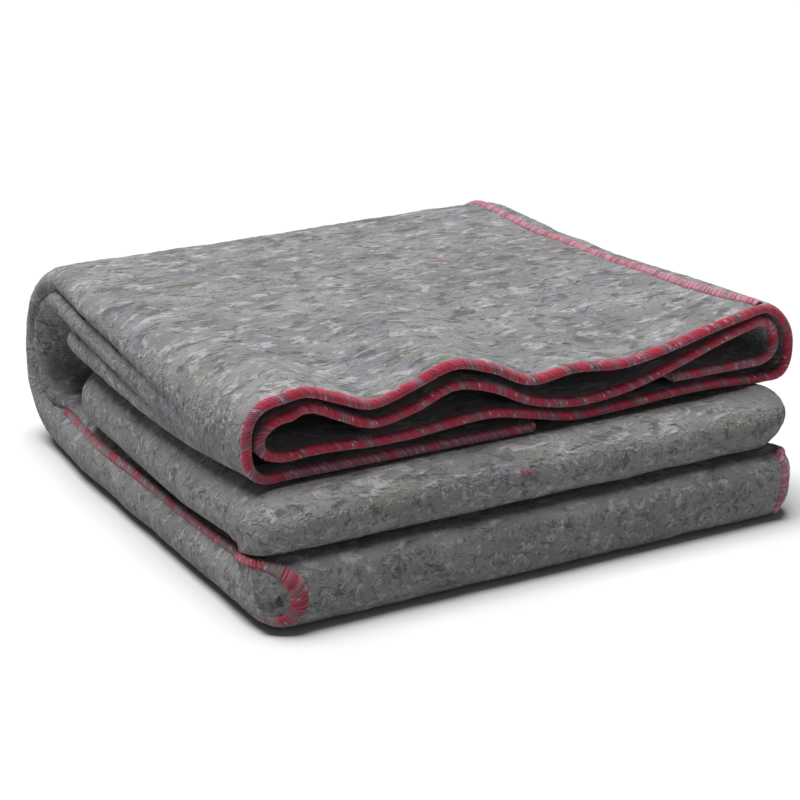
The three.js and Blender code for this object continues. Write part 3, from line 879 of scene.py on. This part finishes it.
class Nodes:
    """A material's node tree with short ways to add and join nodes."""

    def __init__(self, name):
        self.material = bpy.data.materials.new(name)
        self.material.use_nodes = True
        self.tree = self.material.node_tree
        self.shader = self.tree.nodes["Principled BSDF"]

    def add(self, kind, inputs=(), **settings):
        node = self.tree.nodes.new(kind)
        for key, value in settings.items():
            setattr(node, key, value)
        for key, value in dict(inputs).items():
            if isinstance(value, bpy.types.NodeSocket):
                self.tree.links.new(value, node.inputs[key])
            else:
                node.inputs[key].default_value = value
        return node

    def position(self):
        return self.add("ShaderNodeTexCoord").outputs["Object"]

    def upright(self):
        """1 where the surface stands, 0 where it lies flat and faces up."""
        normal = self.add("ShaderNodeTexCoord").outputs["Normal"]
        rise = self.add("ShaderNodeSeparateXYZ", {0: normal}).outputs["Z"]
        return self.remap(rise, *UPRIGHT_TO_FLAT, 1.0, 0.0)

    def noise(self, scale, detail=2.0, roughness=0.5, distortion=0.0, shift=0.0, grain=(1, 1, 1)):
        place = {"Vector": self.position(), "Location": (shift, shift, shift), "Scale": grain}
        where = self.add("ShaderNodeMapping", place)
        inputs = {"Vector": where.outputs[0], "Scale": scale, "Detail": detail,
                  "Roughness": roughness, "Distortion": distortion}
        return self.add("ShaderNodeTexNoise", inputs).outputs["Fac"]

    def remap(self, value, low, high, to_low=0.0, to_high=1.0):
        inputs = {"Value": value, "From Min": low, "From Max": high, "To Min": to_low, "To Max": to_high}
        return self.add("ShaderNodeMapRange", inputs, interpolation_type="SMOOTHSTEP").outputs[0]

    def mix(self, factor, first, second, blend="MIX"):
        node = self.add("ShaderNodeMix", data_type="RGBA", blend_type=blend)
        sockets = node.inputs[0], node.inputs[6], node.inputs[7]
        for socket, value in zip(sockets, (factor, first, second)):
            if isinstance(value, bpy.types.NodeSocket):
                self.tree.links.new(value, socket)
            else:
                socket.default_value = value
        return node.outputs[2]

    def bump(self, height, strength, distance):
        node = self.add("ShaderNodeBump", {"Height": height, "Strength": strength, "Distance": distance})
        self.tree.links.new(node.outputs[0], self.shader.inputs["Normal"])

    def finish(self, colour, roughness, sheen):
        self.tree.links.new(colour, self.shader.inputs["Base Color"])
        self.shader.inputs["Roughness"].default_value = roughness
        self.shader.inputs["Sheen Weight"].default_value = sheen
        self.shader.inputs["Sheen Roughness"].default_value = SHEEN_ROUGHNESS
        self.shader.inputs["Specular IOR Level"].default_value = SPECULAR
        return self.material


def tufts(n, upright, scale, shift):
    """Soft marks: drawn out sideways where the felt lies flat, short and finer where it stands."""
    flat = n.noise(scale, shift=shift, **FLAT_TUFTS)
    standing = n.noise(FINER * scale, shift=shift, **STANDING_TUFTS)
    return n.remap(n.add("ShaderNodeMix", {0: upright, 2: flat, 3: standing}).outputs[0], *TUFT_EDGE)


def felt_material():
    """Mottled wool: cloudy greys and faint tints, with soft pale and dark tufts drawn out sideways."""
    n = Nodes("grey_felt")
    upright = n.upright()
    clouds = n.remap(n.noise(CLOUDS["scale"], grain=GRAIN), *CLOUDS["edge"])
    colour = n.mix(clouds, CLOUDS["dark"], CLOUDS["pale"])
    for tint in FELT_TINTS.values():
        patch = n.noise(TINT_PATCH["scale"], shift=tint["shift"], grain=GRAIN)
        share = n.remap(patch, *TINT_PATCH["edge"], 0.0, TINT_PATCH["depth"])
        colour = n.mix(share, colour, tint["colour"])
    marks = {}
    for name, look in TUFT_LOOKS.items():
        marks[name] = tufts(n, upright, look["scale"], look["shift"])
        colour = n.mix(n.remap(marks[name], 0.0, 1.0, 0.0, look["depth"]), colour, look["colour"])
    fuzz = n.noise(FUZZ["scale"], detail=3, roughness=0.7, distortion=0.5, shift=FUZZ["shift"])
    colour = n.mix(n.remap(fuzz, *FUZZ["edge"], 0.0, FUZZ["depth"]), colour, FUZZ["colour"])
    height = {0: marks["pale"], 1: marks["dark"]}
    height = n.add("ShaderNodeMath", height, operation="SUBTRACT").outputs[0]
    height = n.add("ShaderNodeMath", {0: height, 1: fuzz}, operation="ADD").outputs[0]
    n.bump(height, **FELT_BUMP)
    return n.finish(colour, **FELT_FINISH)


def tinted_material(name, finish):
    """Yarn or fibre: its colour comes from the points' tint, with fine streaks."""
    n = Nodes(name)
    tint = n.add("ShaderNodeAttribute", attribute_name="tint").outputs["Color"]
    streaks = n.noise(STREAKS["scale"], detail=3, roughness=0.7, distortion=1.0)
    share = n.remap(streaks, *STREAKS["edge"], 0.0, STREAKS["depth"])
    colour = n.mix(share, tint, STREAKS["colour"])
    n.bump(n.noise(THREAD_RIDGES), **THREAD_BUMP)
    return n.finish(colour, **finish)


def floor_material():
    n = Nodes("pale_floor")
    colour = n.mix(n.noise(FLOOR["scale"]), FLOOR["dark"], FLOOR["pale"])
    return n.finish(colour, **FLOOR_FINISH)


# Camera, light and floor

def make_camera():
    data = bpy.data.cameras.new("camera")
    data.sensor_width = SENSOR_WIDTH
    data.lens = LENS
    camera = bpy.data.objects.new("camera", data)
    level, fall = math.cos(VIEW_ELEVATION), math.sin(VIEW_ELEVATION)
    look = Vector((math.sin(VIEW_AZIMUTH) * level, math.cos(VIEW_AZIMUTH) * level, -fall))
    camera.location = Vector(CAMERA_AT) * MM
    camera.rotation_euler = look.to_track_quat("-Z", "Y").to_euler()
    bpy.context.collection.objects.link(camera)
    bpy.context.scene.camera = camera


def make_softbox(box):
    """Even light from a wide patch of sky, in the direction given."""
    data = bpy.data.lights.new(box["name"], "SUN")
    data.angle = math.radians(box["spread"])
    data.energy = box["strength"]
    light = bpy.data.objects.new(box["name"], data)
    light.rotation_euler = Vector(box["towards"]).to_track_quat("Z", "Y").to_euler()
    bpy.context.collection.objects.link(light)


def make_floor():
    side = FLOOR["half_side"]
    corners = [(-side, -side, 0), (side, -side, 0), (side, side, 0), (-side, side, 0)]
    mesh = bpy.data.meshes.new("floor")
    mesh.from_pydata(corners, [], [(0, 1, 2, 3)])
    mesh.materials.append(floor_material())
    floor = bpy.data.objects.new("floor", mesh)
    bpy.context.collection.objects.link(floor)
    return floor


def make_world():
    world = bpy.data.worlds.new("studio")
    bpy.context.scene.world = world
    world.use_nodes = True
    background = world.node_tree.nodes["Background"]
    background.inputs["Color"].default_value = (1, 1, 1, 1)
    background.inputs["Strength"].default_value = WORLD_LIGHT


bpy.context.scene.view_settings.view_transform = "Standard"
make_camera()
make_world()
for box in SOFTBOXES:
    make_softbox(box)
floor = make_floor()

sheet = Sheet()
blanket = make_blanket(sheet, felt_material())
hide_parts("blanket")
yarn = tinted_material("red_yarn", YARN_FINISH)
hems = make_hems(sheet, yarn, random.Random(YARN_SEED))
rng = np.random.default_rng(FIBRE_SEED)
loose = [
    make_fibres(sheet, tinted_material("wool_fibre", FIBRE_FINISH), rng),
    make_strays(sheet, yarn, rng),
]
